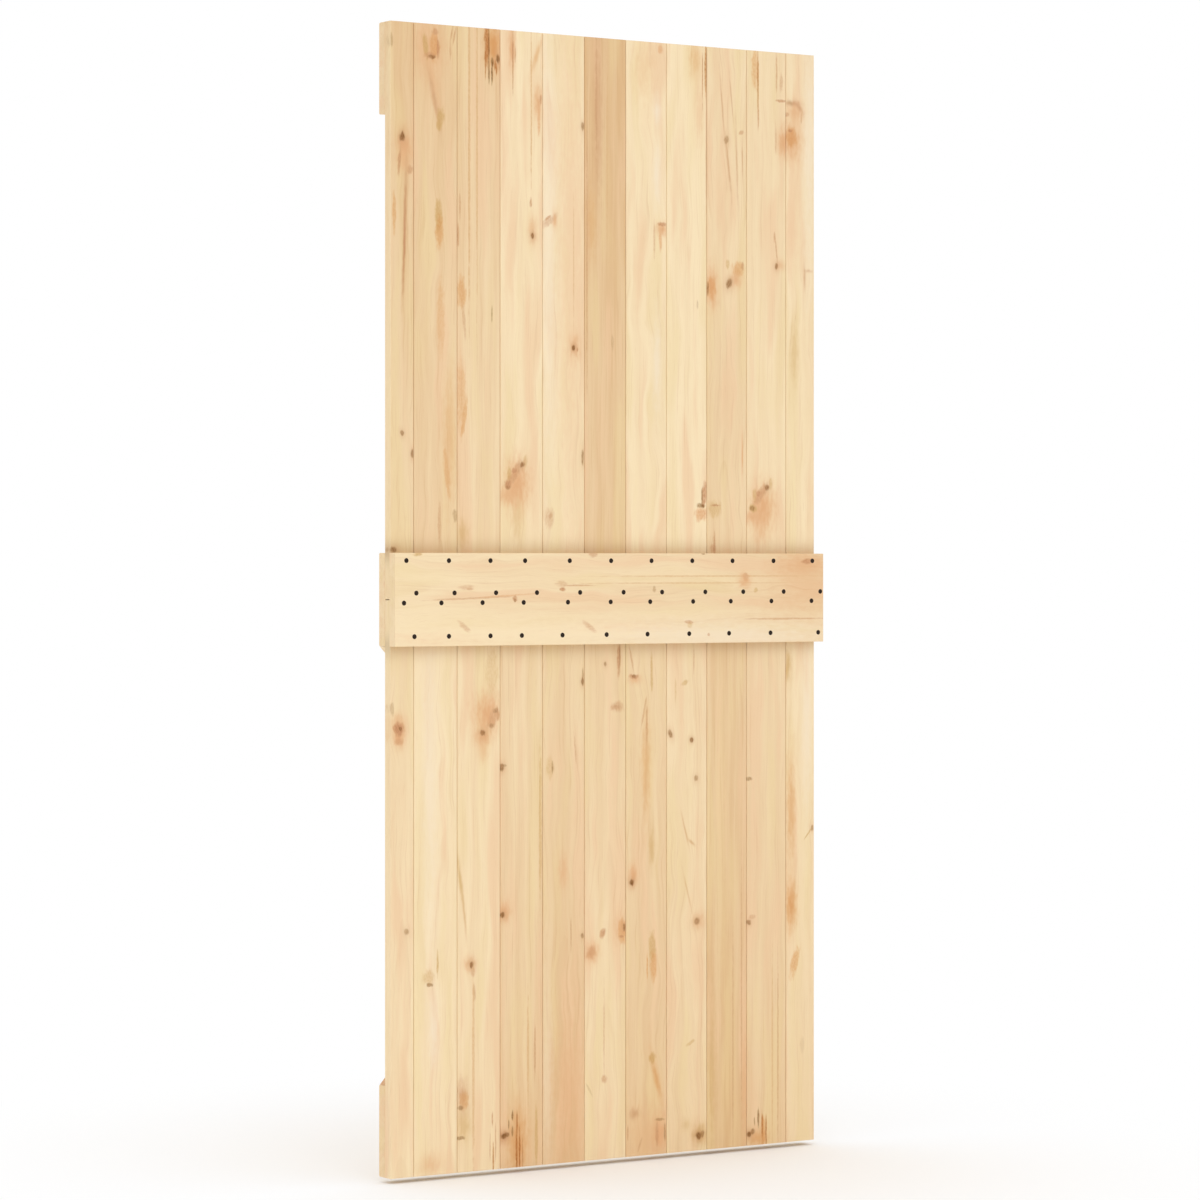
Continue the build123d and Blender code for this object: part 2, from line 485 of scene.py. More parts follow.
dress_board("upper_board_01", 1, (0.35, 0.75), (20, 70), 3.2, 16, 0.20, [
    stain(30, 1872, 16, 26, PINK, 0.95), stain(30, 1844, 14, 18, PINK, 0.5),
    knot(25, 1891, 4.8, 8.5, 0.85), patch(19, 1848, 3.2, 24, RED, 0.6, 5),
    patch(42, 1832, 6.5, 7, RED, 0.45), stain(31, 1770, 2.6, 60, RED, 0.5, 2),
    stain(29, 1685, 2.6, 75, RED, 0.75, 2), patch(8, 1755, 4, 34, RESIN, 0.5),
    patch(3, 2065, 3, 13, BARK, 0.3), stain(0, 1620, 1.4, 700, SAPWOOD, 0.55),
    knot(25, 1353, 3.4, 4.8, 0.6), knot(46, 1316, 2.8, 7, 0.6), knot(7, 1141, 6.5, 5.5, 0.7)])
dress_board("upper_board_02", 2, (0.40, 0.62), (50, 48), 3.6, 18, 0.20, [
    stain(30, 2055, 36, 50, PINK, 0.55), patch(24, 2060, 5.5, 22, OCHRE, 0.85, -8),
    patch(43, 2060, 10, 25, RESIN, 0.6), patch(51, 2056, 3, 17, RED, 0.6), patch(34, 2042, 11, 6, RED, 0.5),
    patch(38, 2040, 8, 3.6, BARK, 0.65), patch(45, 2086, 6, 5, RED, 0.45),
    stain(40, 1995, 9, 50, PINK, 0.5, -13), stain(44, 1960, 4.5, 46, RED, 0.4, -13),
    patch(56, 1930, 7.5, 18, OCHRE, 0.85), patch(52, 1914, 4.5, 8, OCHRE, 0.6),
    patch(80, 2085, 1.8, 13, RED, 0.5, 10), patch(86, 2082, 1.8, 15, RED, 0.5, 10),
    patch(77, 2055, 1.6, 17, RED, 0.4), patch(52, 1750, 7.5, 28, OCHRE, 0.8),
    patch(54, 1721, 8, 30, RESIN, 0.55), patch(57, 1565, 8, 64, RESIN, 0.3),
    stain(75, 1350, 13, 110, RESIN, 0.32), patch(70, 1280, 5, 46, RESIN, 0.4, -6),
    patch(54, 1190, 3.6, 34, RED, 0.35), patch(87, 1203, 5, 10, BARK, 0.3)])
dress_board("upper_board_03", 3, (0.30, 0.50), (-60, 60), 4.2, 9, 0.22, [
    stain(77, 2070, 16, 42, RESIN, 0.8), patch(63, 2070, 5, 42, AMBER, 0.8),
    patch(67.5, 2058, 1.8, 46, BARK, 0.5), patch(60, 2036, 1.5, 26, AMBER, 0.75),
    patch(68, 2014, 1.8, 14, BARK, 0.65), patch(74, 2016, 2, 18, BARK, 0.8),
    patch(75, 2038, 2.8, 8, BARK, 0.8), patch(81, 2033, 1.8, 9, AMBER, 0.85),
    knot(87, 2045, 3.6, 8.5, 0.8), patch(84, 2024, 1.8, 10, AMBER, 0.8),
    patch(25, 1900, 2.4, 330, HEARTWOOD, 0.9), patch(42, 1900, 2, 310, HEARTWOOD, 0.8),
    patch(5, 1768, 2.2, 26, RED, 0.4), patch(1.5, 1715, 2, 20, RED, 0.5),
    patch(8, 1613, 9, 26, RESIN, 0.55), patch(14, 1560, 3.2, 32, RED, 0.3, -6),
    patch(74, 1575, 1.6, 16, BARK, 0.35), patch(15, 1385, 4.2, 36, RESIN, 0.45, 8),
    patch(8, 1420, 9, 62, RESIN, 0.35), stain(10, 1170, 12, 24, OCHRE, 0.5)])
dress_board("upper_board_04", 4, (0.15, 0.05), (70, 55), 3.8, 16, 0.16, [
    stain(25, 2068, 7, 38, PINK, 0.95), patch(27, 2045, 1.4, 54, RED, 0.7),
    patch(32, 2055, 1.6, 15, RED, 0.45), patch(67, 1960, 1.7, 145, HEARTWOOD, 0.8),
    stain(80, 2060, 5, 32, RESIN, 0.4, 20), stain(82, 1972, 9, 27, PINK, 0.95),
    patch(88, 1975, 2.2, 10, RED, 0.55), patch(84, 1938, 3.2, 28, PINK, 0.8),
    patch(66, 1784, 2.6, 9, RED, 0.55), stain(70, 1732, 10, 24, PINK, 0.6),
    knot(70, 1723, 3.2, 5.5, 0.75), stain(36, 1200, 11, 50, OCHRE, 0.35),
    stain(36, 1262, 26, 44, PINK, 1.0), stain(14, 1243, 17, 14, PINK, 0.8),
    patch(33, 1284, 8, 26, RED, 0.42, 37), patch(16, 1262, 7.5, 9, RED, 0.7),
    patch(16, 1256, 5, 4, BARK, 0.3), patch(19, 1282, 4.5, 11, OCHRE, 0.6),
    patch(29, 1287, 5, 5, RED, 0.5), knot(47, 1299, 4.4, 5, 0.6), patch(54, 1306, 4.5, 10, OCHRE, 0.35)])
dress_board("upper_board_05", 5, (0.12, 0.08), (40, 90), 4.0, 22, 0.16, [
    stain(62, 1700, 28, 420, ROSY, 0.6), stain(12, 1750, 18, 450, PALE, 0.5),
    patch(14, 1752, 6.5, 19, RED, 0.4, 52), patch(10, 1757, 2.2, 11, RED, 0.45, 52),
    stain(26, 1752, 5, 13, PINK, 0.8), knot(88, 1932, 2.8, 7.5, 0.5),
    patch(68, 1670, 1.4, 115, HEARTWOOD, 0.6), stain(70, 1520, 12, 23, PINK, 0.7),
    knot(68, 1518, 3.8, 5, 0.9), patch(76, 1515, 1.6, 4, RED, 0.6), patch(14, 1200, 9.5, 18, RED, 0.3),
    patch(17, 1205, 4.2, 5.5, RED, 0.35), knot(88, 1314, 2.4, 13, 0.5)])
dress_board("upper_board_06", 6, (0.60, 0.82), (-150, 20), 3.0, 5, 0.22, [
    stain(30, 1960, 10, 150, RED, 0.3), patch(26, 1990, 2.2, 115, RED, 0.3),
    patch(50, 1900, 2.2, 165, HEARTWOOD, 0.7), patch(5, 1700, 1.6, 270, RED, 0.4),
    stain(15, 1750, 10, 60, RESIN, 0.3), patch(62, 1530, 3, 14, BARK, 0.15)])
dress_board("upper_board_07", 7, (0.12, 0.06), (46, 60), 4.4, 24, 0.16, [
    stain(70, 1972, 8, 26, PALE, 0.8), stain(70, 1850, 9, 60, PALE, 0.7),
    stain(70, 1490, 10, 90, PALE, 0.7), stain(40, 2050, 22, 60, RESIN, 0.22),
    patch(78, 2088, 5.5, 9, PINK, 0.85), stain(82, 1748, 12, 11, PINK, 1.0),
    patch(82, 1757, 9.5, 3.8, RED, 0.65), patch(64, 1728, 2.2, 30, RED, 0.32),
    patch(78, 1726, 3.2, 19, PINK, 0.8)])
dress_board("upper_board_08", 8, (0.02, 0.02), (120, 50), 4.0, 12, 0.14, [
    stain(66, 2075, 14, 34, RESIN, 0.35), patch(82, 2040, 1.5, 48, RED, 0.6),
    patch(89.5, 2055, 2.8, 52, AMBER, 0.7), stain(75, 1980, 12, 60, PINK, 0.35),
    stain(91, 1900, 2, 140, RED, 0.35), patch(79, 1210, 14, 12, PINK, 0.95),
    patch(86, 1248, 5.5, 23, RED, 0.75, 6), patch(81, 1246, 2, 14, BARK, 0.45),
    patch(78, 1226, 9.5, 4.2, BARK, 0.6), patch(83, 1226, 3.2, 3.2, BARK, 0.5),
    patch(70, 1607, 2, 8, BARK, 0.2)])
dress_board("upper_board_09", 9, (0.40, 0.25), (45, 40), 3.4, 20, 0.20, [
    stain(35, 1990, 1.6, 54, RED, 0.4, -5), knot(45, 1925, 5, 7.5, 0.38),
    stain(50, 1872, 2.4, 48, RED, 0.42, -7), stain(57, 2000, 1.5, 50, RED, 0.35, -6),
    stain(69, 1880, 2, 74, RED, 0.4, -2), patch(80, 1941, 6, 4.2, RED, 0.45, -20),
    stain(82, 1890, 1.6, 32, RED, 0.4), stain(68, 1660, 12, 17, PINK, 0.8),
    patch(73, 1680, 13.5, 12.5, RESIN, 0.5), patch(83, 1685, 3.2, 8.5, RED, 0.45),
    knot(51, 1651, 5.8, 8.5, 0.65, 25), stain(10, 1640, 14, 33, PINK, 1.0),
    patch(9, 1642, 9.5, 21, RESIN, 0.45), patch(2, 1640, 1.8, 13, BARK, 0.5),
    patch(48, 1688, 4.2, 8.5, OCHRE, 0.5), patch(16, 1220, 15.5, 15.5, OCHRE, 0.5),
    patch(19, 1227, 9.5, 2, RED, 0.65), patch(17, 1152, 2.6, 25, RED, 0.6),
    patch(13, 1145, 6.5, 7.5, RED, 0.4), stain(82, 1324, 2, 36, PINK, 0.9)])
dress_board("upper_board_10", 10, (0.10, 0.22), (130, 30), 3.6, 10, 0.16, [
    patch(19, 2065, 7.5, 36, RESIN, 0.45), patch(26, 2045, 2, 52, AMBER, 0.65),
    patch(27, 1975, 1.7, 26, RED, 0.55), patch(70, 2060, 2, 36, RED, 0.45),
    patch(81, 2042, 4.2, 17, RED, 0.35), patch(80, 2007, 11.5, 2.8, RED, 0.6),
    stain(86, 1928, 13, 27, PINK, 1.0), patch(68, 1935, 2.2, 27, RED, 0.3),
    knot(70, 1688, 3.4, 5.4, 0.7), patch(69, 1722, 1.6, 26, RED, 0.45, -6),
    patch(65, 1744, 2.2, 9, RED, 0.4), stain(80, 1690, 10, 10, PINK, 0.5),
    stain(38, 1222, 27, 42, PINK, 1.0), stain(12, 1206, 16, 12, PINK, 0.8),
    stain(36, 1180, 13, 36, PINK, 0.35), patch(34, 1250, 8, 24, RED, 0.42, 38),
    patch(14, 1222, 9, 7, OCHRE, 0.8, 30), patch(13, 1222, 6, 5, BARK, 0.45),
    patch(18, 1248, 4.5, 12, OCHRE, 0.55), patch(27, 1250, 5, 5, RED, 0.4),
    knot(47, 1262, 4.6, 5.6, 0.6), patch(56, 1270, 4.5, 10, OCHRE, 0.4)])
dress_board("upper_board_11", 11, (0.08, 0.18), (30, 60), 3.8, 18, 0.16, [
    stain(55, 1900, 14, 220, PALE, 0.7), stain(12, 1932, 20, 34, PINK, 1.0),
    patch(11, 1939, 12.5, 18, RESIN, 0.55), patch(10, 1951, 4.4, 2.8, RED, 0.7),
    stain(20, 1988, 17, 18, PINK, 0.7), stain(16, 2004, 16, 5.5, RED, 0.4),
    stain(10, 2005, 7, 4, BARK, 0.2), stain(32, 1996, 4.6, 13, RED, 0.38, -37),
    patch(2, 1982, 5.4, 4.4, RED, 0.45), patch(36, 1975, 1.7, 9, RED, 0.35),
    stain(44, 1668, 2.6, 20, RED, 0.38), stain(53, 1682, 9, 3, RED, 0.3),
    stain(15, 1750, 14, 60, ROSY, 0.6), stain(20, 1520, 10, 60, OCHRE, 0.35)])

# Lower boards
# The same pine in a second tier, which butts under the upper one. The joint hides behind the two
# middle battens, and the screws through those tie the tiers together.
dress_board("lower_board_01", 21, (0.12, 0.25), (25, 60), 3.6, 14, 0.16, [
    stain(18, 832, 12, 11, PINK, 0.5), stain(18, 798, 11, 17, PINK, 1.0),
    patch(18, 792, 8.5, 6.5, RED, 0.4), red_knot(18, 815, 10, 12.5), patch(21, 816, 2.8, 3.4, BARK, 0.6),
    patch(4, 852, 3.8, 11, BARK, 0.25), knot(34, 446, 4.4, 5.4, 0.38)])
dress_board("lower_board_02", 22, (0.10, 0.12), (60, 70), 4.0, 20, 0.16, [
    stain(34, 700, 16, 300, PALE, 0.5), stain(42, 260, 10, 70, PALE, 0.7),
    patch(30, 361, 11.5, 13, OCHRE, 0.45), patch(33, 347, 6.5, 3.4, BARK, 0.6),
    patch(50, 385, 2.2, 22, OCHRE, 0.7), stain(35, 20, 22, 16, PINK, 0.5)])
dress_board("lower_board_03", 23, (0.18, 0.16), (140, 40), 3.4, 9, 0.16, [
    patch(74, 915, 13, 48, OCHRE, 0.35), stain(64, 840, 27, 36, PINK, 1.0),
    stain(54, 797, 16, 15, PINK, 0.9), patch(76, 828, 9, 22, RED, 0.35, 20),
    knot(54, 804, 4.8, 5.4, 0.65), patch(73, 817, 4.4, 5, BARK, 0.35), patch(82, 845, 5, 4.6, BARK, 0.35),
    patch(87, 838, 2.2, 12, RED, 0.55), stain(55, 770, 10, 20, PINK, 0.5),
    stain(5, 540, 3.6, 48, OCHRE, 0.6, -8), stain(15, 470, 2.2, 42, LATEWOOD, 0.4, -6),
    stain(26, 380, 12, 12, PINK, 0.65), knot(30, 379, 3.8, 6, 0.8), patch(33, 365, 4.2, 8.5, RED, 0.35),
    patch(36, 325, 3.2, 15, RED, 0.4), patch(34, 180, 2.8, 175, HEARTWOOD, 0.7),
    stain(12, 85, 15, 26, OCHRE, 0.5), stain(10, 138, 13, 28, RED, 0.5),
    patch(14, 131, 9.5, 15, RESIN, 0.45), patch(6, 118, 6, 4, BARK, 0.5), patch(7, 63, 8.5, 3.6, BARK, 0.5),
    patch(75, 92, 1.7, 13, RED, 0.6), patch(77, 14, 2, 32, AMBER, 0.7),
    patch(70, 40, 1.4, 24, RED, 0.45), patch(82, 50, 1.5, 32, RED, 0.45)])
dress_board("lower_board_04", 24, (0.60, 0.25), (-70, 30), 3.2, 8, 0.22, [
    stain(38, 45, 20, 60, RESIN, 0.6), stain(9, 60, 12, 13, RED, 0.5), knot(7, 59, 4.8, 4.8, 0.95),
    patch(14, 62, 4.8, 4.4, BARK, 0.65), patch(18, 80, 1.5, 8, BARK, 0.55),
    patch(26, 97, 2.2, 10, BARK, 0.7), patch(26, 66, 2.2, 9, BARK, 0.55),
    patch(36, 82, 1.7, 21, AMBER, 0.85), patch(35, 26, 2, 40, AMBER, 0.95),
    patch(41.5, 28, 2, 40, AMBER, 0.9), patch(48, 22, 1.5, 28, AMBER, 0.45),
    patch(78, 50, 3.2, 58, OCHRE, 0.65), patch(75, 215, 2, 50, RED, 0.45),
    patch(60, 220, 2, 95, HEARTWOOD, 0.8), stain(8, 474, 13, 17, PINK, 0.9),
    knot(4, 467, 4.6, 5.4, 0.85), knot(3, 739, 4.4, 6, 0.65), patch(9, 743, 4.4, 2.2, BARK, 0.3),
    patch(87, 640, 3.2, 135, OCHRE, 0.55)])
dress_board("lower_board_05", 25, (0.75, 0.32), (46, 75), 4.2, 20, 0.18, [
    stain(10, 150, 12, 200, PALE, 0.4), stain(58, 110, 28, 150, PINK, 0.5),
    stain(45, 540, 10, 30, PINK, 0.6), patch(15, 736, 8, 21, OCHRE, 0.38),
    patch(21, 736, 1.8, 10, BARK, 0.4), patch(72, 765, 1.7, 27, RED, 0.35, -5),
    knot(88, 895, 3, 7.5, 0.65), patch(88, 908, 1.7, 11, BARK, 0.35), knot(87, 421, 3.4, 5, 0.45),
    patch(62, 425, 1.4, 32, RED, 0.45)])
dress_board("lower_board_06", 26, (0.22, 0.40), (50, 52), 3.8, 18, 0.18, [
    patch(76, 935, 4.2, 30, RED, 0.65), stain(78, 945, 1.6, 22, BARK, 0.35),
    patch(73, 847, 13.5, 9.5, RED, 0.4), patch(70, 846, 8.5, 4.4, RED, 0.35),
    knot(46, 927, 2.8, 4.4, 0.4), patch(40, 423, 5.8, 9.5, RED, 0.7, 20),
    stain(15, 388, 14, 17, PINK, 1.0), patch(14, 388, 9.5, 12, RED, 0.35),
    stain(80, 430, 14, 27, PINK, 0.55), patch(84, 424, 9.5, 23, RESIN, 0.5),
    knot(88.5, 432, 2.8, 6.5, 0.6), patch(82, 415, 5.4, 2.2, RED, 0.55),
    patch(44, 150, 5.8, 7.5, RED, 0.45), patch(43, 240, 1.5, 84, RED, 0.35),
    patch(10, 132, 2.2, 13, BARK, 0.15, -30)])
dress_board("lower_board_07", 27, (0.65, 0.30), (60, 45), 3.6, 22, 0.20, [
    stain(20, 897, 14, 8, PINK, 0.65), patch(18, 903, 9.5, 4.4, RED, 0.65),
    patch(18, 904, 4.4, 3.2, BARK, 0.55), patch(12, 938, 2, 27, RED, 0.4, -12),
    patch(58, 905, 2.8, 36, OCHRE, 0.65), patch(41, 838, 2.2, 27, RED, 0.4, 12),
    patch(47, 812, 2.2, 36, RED, 0.45), stain(45, 730, 10, 90, RESIN, 0.38),
    stain(16, 530, 9, 19, PINK, 1.0), knot(13, 516, 4.8, 6, 0.95), patch(59, 392, 7.5, 27, OCHRE, 0.65),
    patch(62, 356, 7, 27, RESIN, 0.55), patch(48, 355, 1.5, 27, RESIN, 0.65),
    stain(58, 580, 6, 35, OCHRE, 0.55), patch(59, 183, 7, 10, OCHRE, 0.85),
    stain(69, 143, 6, 40, RESIN, 0.6, -14), stain(40, 30, 40, 60, PINK, 0.4),
    stain(18, 80, 11, 9, RED, 0.45), stain(76, 38, 17, 34, PINK, 1.0), patch(70, 38, 3.4, 24, RED, 0.45),
    patch(76, 65, 11, 2.6, BARK, 0.4), patch(88, 40, 2.2, 18, BARK, 0.4),
    patch(4, 45, 1.5, 13, RED, 0.55), patch(31, 20, 2.2, 13, RED, 0.3, 20)])
dress_board("lower_board_08", 28, (0.40, 0.18), (40, 58), 4.0, 20, 0.18, [
    knot(8, 793, 4.4, 7.5, 0.6, -20), knot(57, 781, 3.8, 4.2, 0.7), knot(67, 708, 4.2, 5, 0.42),
    patch(42, 890, 4.4, 9, OCHRE, 0.55, 60), patch(20, 872, 2.2, 25, OCHRE, 0.35),
    patch(62, 935, 1.4, 28, RED, 0.4), stain(42, 610, 1.8, 28, LATEWOOD, 0.45, -15),
    stain(57, 586, 2.6, 9, LATEWOOD, 0.5, -50), stain(48, 490, 1.8, 36, LATEWOOD, 0.35, -15),
    stain(72, 436, 14, 15, PINK, 0.55), knot(69, 436, 5, 7, 0.48, 25),
    patch(53, 205, 3.4, 10, OCHRE, 0.5, 60), stain(76, 30, 16, 19, OCHRE, 0.7),
    knot(73, 28, 6, 6.5, 0.9), patch(82, 31, 4.4, 6.5, BARK, 0.5), stain(44, 50, 9, 10, OCHRE, 0.35)])
dress_board("lower_board_09", 29, (0.82, 0.55), (-140, 10), 3.0, 5, 0.22, [
    stain(86, 120, 6, 120, PINK, 0.6), stain(30, 600, 14, 300, STRAW, 0.4),
    stain(12, 150, 10, 140, OCHRE, 0.4), patch(80, 300, 1.7, 210, RED, 0.35),
    patch(60, 200, 1.8, 210, RED, 0.3)])
dress_board("lower_board_10", 30, (0.60, 0.24), (140, 60), 3.4, 9, 0.18, [
    stain(26, 14, 20, 17, RESIN, 0.55), knot(5, 22, 4.4, 4.8, 0.95), patch(13, 26, 4.4, 5.4, BARK, 0.6),
    patch(18, 46, 1.5, 9, BARK, 0.4), patch(27, 52, 2.2, 17, BARK, 0.65),
    patch(38, 22, 4.2, 34, RESIN, 0.65), patch(36, 40, 1.8, 23, AMBER, 0.8),
    patch(45, 26, 1.7, 30, AMBER, 0.85), patch(60, 170, 1.7, 180, HEARTWOOD, 0.7),
    patch(73, 170, 2, 180, RED, 0.35), knot(4, 428, 4.8, 4.8, 0.55), patch(13, 438, 7.5, 4.4, RED, 0.3),
    patch(4, 703, 7.5, 3.8, BARK, 0.45)])
dress_board("lower_board_11", 31, (0.38, 0.10), (30, 80), 4.0, 16, 0.16, [
    stain(50, 800, 12, 160, PALE, 0.6), stain(12, 456, 12, 44, RESIN, 0.75),
    stain(12, 640, 10, 90, RESIN, 0.5), patch(20, 346, 8.5, 28, RESIN, 0.55, 15),
    knot(62, 604, 3, 5, 0.5), patch(53, 594, 1.7, 17, OCHRE, 0.6, 40),
    stain(4, 918, 8, 30, OCHRE, 0.65), patch(38, 185, 5.4, 16, BARK, 0.1)])

# Front battens
# Three planks across the front, as long as the door is wide, with eased long edges. Screws from the
# front hold the top and bottom ones; the middle one takes the screws that come through from the back.


def dress_batten(node, seed, tone, pith, ring, wander, lines, marks):
    """Finishes a batten. Marks lie up from its lower edge and along from the door's left side."""
    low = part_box(node)[0] / MM
    origin = (door_low.x, low.y, low.z)
    length = door_high.x - door_low.x
    dress(node, pine(node, origin, UP, ACROSS, tone, length, pith, ring, wander, lines, seed, marks))


dress_batten("front_top_batten", 41, (0.25, 0.15), (80, -60), 3.8, 20, 0.18, [
    red_knot(60, 210, 7, 9), knot(120, 610, 3.5, 6, 0.8), red_knot(35, 800, 6, 8),
    patch(95, 420, 2, 90, RED, 0.35)])
dress_batten("front_middle_batten", 42, (0.18, 0.30), (60, 90), 4.2, 22, 0.18, [
    red_knot(110, 330, 8, 10), knot(48, 520, 3.5, 6, 0.8), patch(130, 760, 8, 30, RESIN, 0.5),
    patch(75, 640, 2, 80, RED, 0.35)])
dress_batten("front_bottom_batten", 43, (0.35, 0.25), (100, -70), 3.6, 20, 0.18, [
    red_knot(70, 150, 6, 8), knot(130, 430, 3.5, 6, 0.8), red_knot(50, 700, 8, 10),
    patch(30, 560, 6, 40, OCHRE, 0.5)])

# Crossed brace
# One whole diagonal and two halves that butt against it, cut level at the battens. They are the same
# planks as the battens and are screwed to the boards from the front.
field_low, field_high = (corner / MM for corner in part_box("brace_whole"))
field_middle = (field_low + field_high) / 2
PLANK_WIDTH = 170.0


def brace_axes(rise):
    """A brace's two directions, along it and across it. It rises to the right (1) or falls to it (-1)."""
    field = field_high - field_low
    slope = math.atan2(field.z, field.x) + math.asin(PLANK_WIDTH / math.hypot(field.x, field.z))
    along = Vector((math.cos(slope), 0.0, rise * math.sin(slope)))
    return along, Vector((-along.z, 0.0, along.x))


def dress_brace(node, seed, rise, tone, pith, ring, wander, lines, marks):
    """Finishes a brace. Marks lie across from its middle line and along from the middle of the cross."""
    along, across = brace_axes(rise)
    origin = (field_middle.x, field_low.y, field_middle.z)
    length = (field_high.z - field_low.z) / abs(along.z)
    dress(node, pine(node, origin, across, along, tone, length, pith, ring, wander, lines, seed, marks))


dress_brace("brace_whole", 51, 1, (0.25, 0.30), (10, 80), 3.8, 18, 0.18, [
    red_knot(-30, -280, 7, 9), knot(45, 40, 3.5, 6, 0.8), red_knot(20, 330, 6, 8),
    patch(-50, 150, 3, 60, RESIN, 0.5), patch(80, -607, 12, 16, RED, 0.7)])
dress_brace("brace_upper_half", 52, -1, (0.15, 0.25), (-20, 70), 4.0, 18, 0.18, [
    red_knot(30, -300, 7, 9), patch(-35, -420, 2.5, 50, RED, 0.4)])
dress_brace("brace_lower_half", 53, -1, (0.30, 0.20), (30, -50), 3.6, 18, 0.18, [
    knot(-20, 340, 3.5, 6, 0.8), patch(45, 420, 6, 30, OCHRE, 0.5)])

# Back batten
# A wide plank over the butt joint of the two tiers, a little longer than the door is wide. Its lower
# edge is pale sapwood. Four rows of screws go through it into the boards and the batten in front.
dress_batten("back_middle_batten", 61, (0.14, 0.34), (110, -70), 4.4, 22, 0.14, [
    stain(20, 250, 30, 420, SAPWOOD, 0.8), stain(14, 720, 26, 260, PALE, 0.6),
    stain(150, 910, 24, 60, PINK, 0.7), stain(100, 930, 50, 110, PINK, 0.4),
    patch(87, 160, 1.8, 90, RED, 0.35, 2), patch(92, 240, 1.6, 60, PINK, 0.6, 3),
    patch(127, 700, 1.6, 240, HEARTWOOD, 0.6), patch(114, 640, 1.4, 230, HEARTWOOD, 0.6),
    patch(45, 870, 1.8, 90, RED, 0.4), patch(107, 148, 4, 15, RED, 0.3), patch(104, 158, 2, 7, RED, 0.35),
    patch(86, 254, 5, 5, RED, 0.65), patch(83, 254, 3, 2.4, BARK, 0.4), patch(113, 356, 6, 13, RED, 0.3),
    patch(103, 358, 3.4, 6.5, RED, 0.8), patch(110, 395, 1.6, 32, RED, 0.45),
    patch(35, 145, 5, 15, RED, 0.35, -35), patch(33, 418, 5, 15, RED, 0.35, -35),
    patch(168, 46, 4, 9, OCHRE, 0.7), patch(168, 426, 5, 9, RED, 0.45), patch(170, 675, 3, 4, BARK, 0.4),
    patch(125, 774, 8, 6, RED, 0.55), stain(118, 772, 14, 12, PINK, 0.9),
    patch(100, 797, 4.4, 4.4, OCHRE, 0.6), patch(102, 563, 5, 4, BARK, 0.3),
    patch(155, 918, 5, 11, RED, 0.7), patch(40, 642, 2.8, 9, RED, 0.5), patch(34, 644, 5, 6, OCHRE, 0.4),
    patch(16, 688, 3, 3, RED, 0.5)])

# Screws
# Dark wood screws with a cross recess, driven in rows by eye, about one to a board in each row. The
# heads stand a hair proud of the planks.
SCREW_DARK = tint(34, 24, 17)
SCREW_WORN = tint(74, 54, 38)
WEAR_SCALE = 900.0
WEAR_DETAIL = 3.0
WEAR_RANGE = (0.45, 0.75)
SCREW_ROUGHNESS = 0.3
WORN_ROUGHNESS = 0.3
SCREW_METALLIC = 0.6
HEAD_SPOKES = 24
# The rings of a head's mesh, by their radius in millimetres.
HEAD_RINGS = (0.0, 0.35, 0.6, 1.0, 1.5, 2.0, 2.4, 3.0, 3.8, 4.3, 4.5)
HEAD_RADIUS = HEAD_RINGS[-1] * MM
HEAD_RISE = 0.7 * MM
HEAD_DOME = 0.8
HEAD_SINK = 0.2 * MM
RECESS_DEPTH = 0.45 * MM
RECESS_HALF_WIDTH = 0.5 * MM
RECESS_REACH = 2.2 * MM


def screw_material():
    """Blackened steel, rubbed a little brown."""
    material = bpy.data.materials.new("blackened_screw")
    material.use_nodes = True
    tree = material.node_tree
    shader = tree.nodes["Principled BSDF"]
    coordinates = tree.nodes.new("ShaderNodeTexCoord")
    worn = add(tree, "ShaderNodeTexNoise", coordinates.outputs["Object"], None, WEAR_SCALE, WEAR_DETAIL)
    colour = mix(tree, fade(tree, worn, *WEAR_RANGE), SCREW_DARK, SCREW_WORN)
    roughness = calc(tree, "ADD", calc(tree, "MULTIPLY", worn, WORN_ROUGHNESS), SCREW_ROUGHNESS)
    tree.links.new(colour, shader.inputs["Base Color"])
    tree.links.new(roughness, shader.inputs["Roughness"])
    shader.inputs["Metallic"].default_value = SCREW_METALLIC
    return material


def screw_head():
    """One head, facing +Z: a low dome on a polar grid, sunk where the cross recess is, closed below."""
    shape = bmesh.new()
    rows = []
    for radius in HEAD_RINGS:
        row = []
        for spoke in range(HEAD_SPOKES if radius else 1):
            turn = 2 * math.pi * spoke / HEAD_SPOKES
            x = radius * MM * math.cos(turn)
            y = radius * MM * math.sin(turn)
            rise = HEAD_RISE * (1 - HEAD_DOME * (radius * MM / HEAD_RADIUS) ** 2)
            near, far = sorted((abs(x), abs(y)))
            if near <= RECESS_HALF_WIDTH and far <= RECESS_REACH:
                rise -= RECESS_DEPTH
            row.append(shape.verts.new((x, y, rise)))
        rows.append(row)
    rows.append([shape.verts.new((vertex.co.x, vertex.co.y, -HEAD_SINK)) for vertex in rows[-1]])
    for spoke in range(HEAD_SPOKES):
        following = (spoke + 1) % HEAD_SPOKES
        shape.faces.new((rows[0][0], rows[1][spoke], rows[1][following]))
        for inner, outer in zip(rows[1:], rows[2:]):
            shape.faces.new((inner[spoke], outer[spoke], outer[following], inner[following]))
    shape.faces.new(rows[-1][::-1])
    mesh = bpy.data.meshes.new("screw_head")
    shape.to_mesh(mesh)
    shape.free()
    return bpy.data.objects.new("screw_head", mesh)


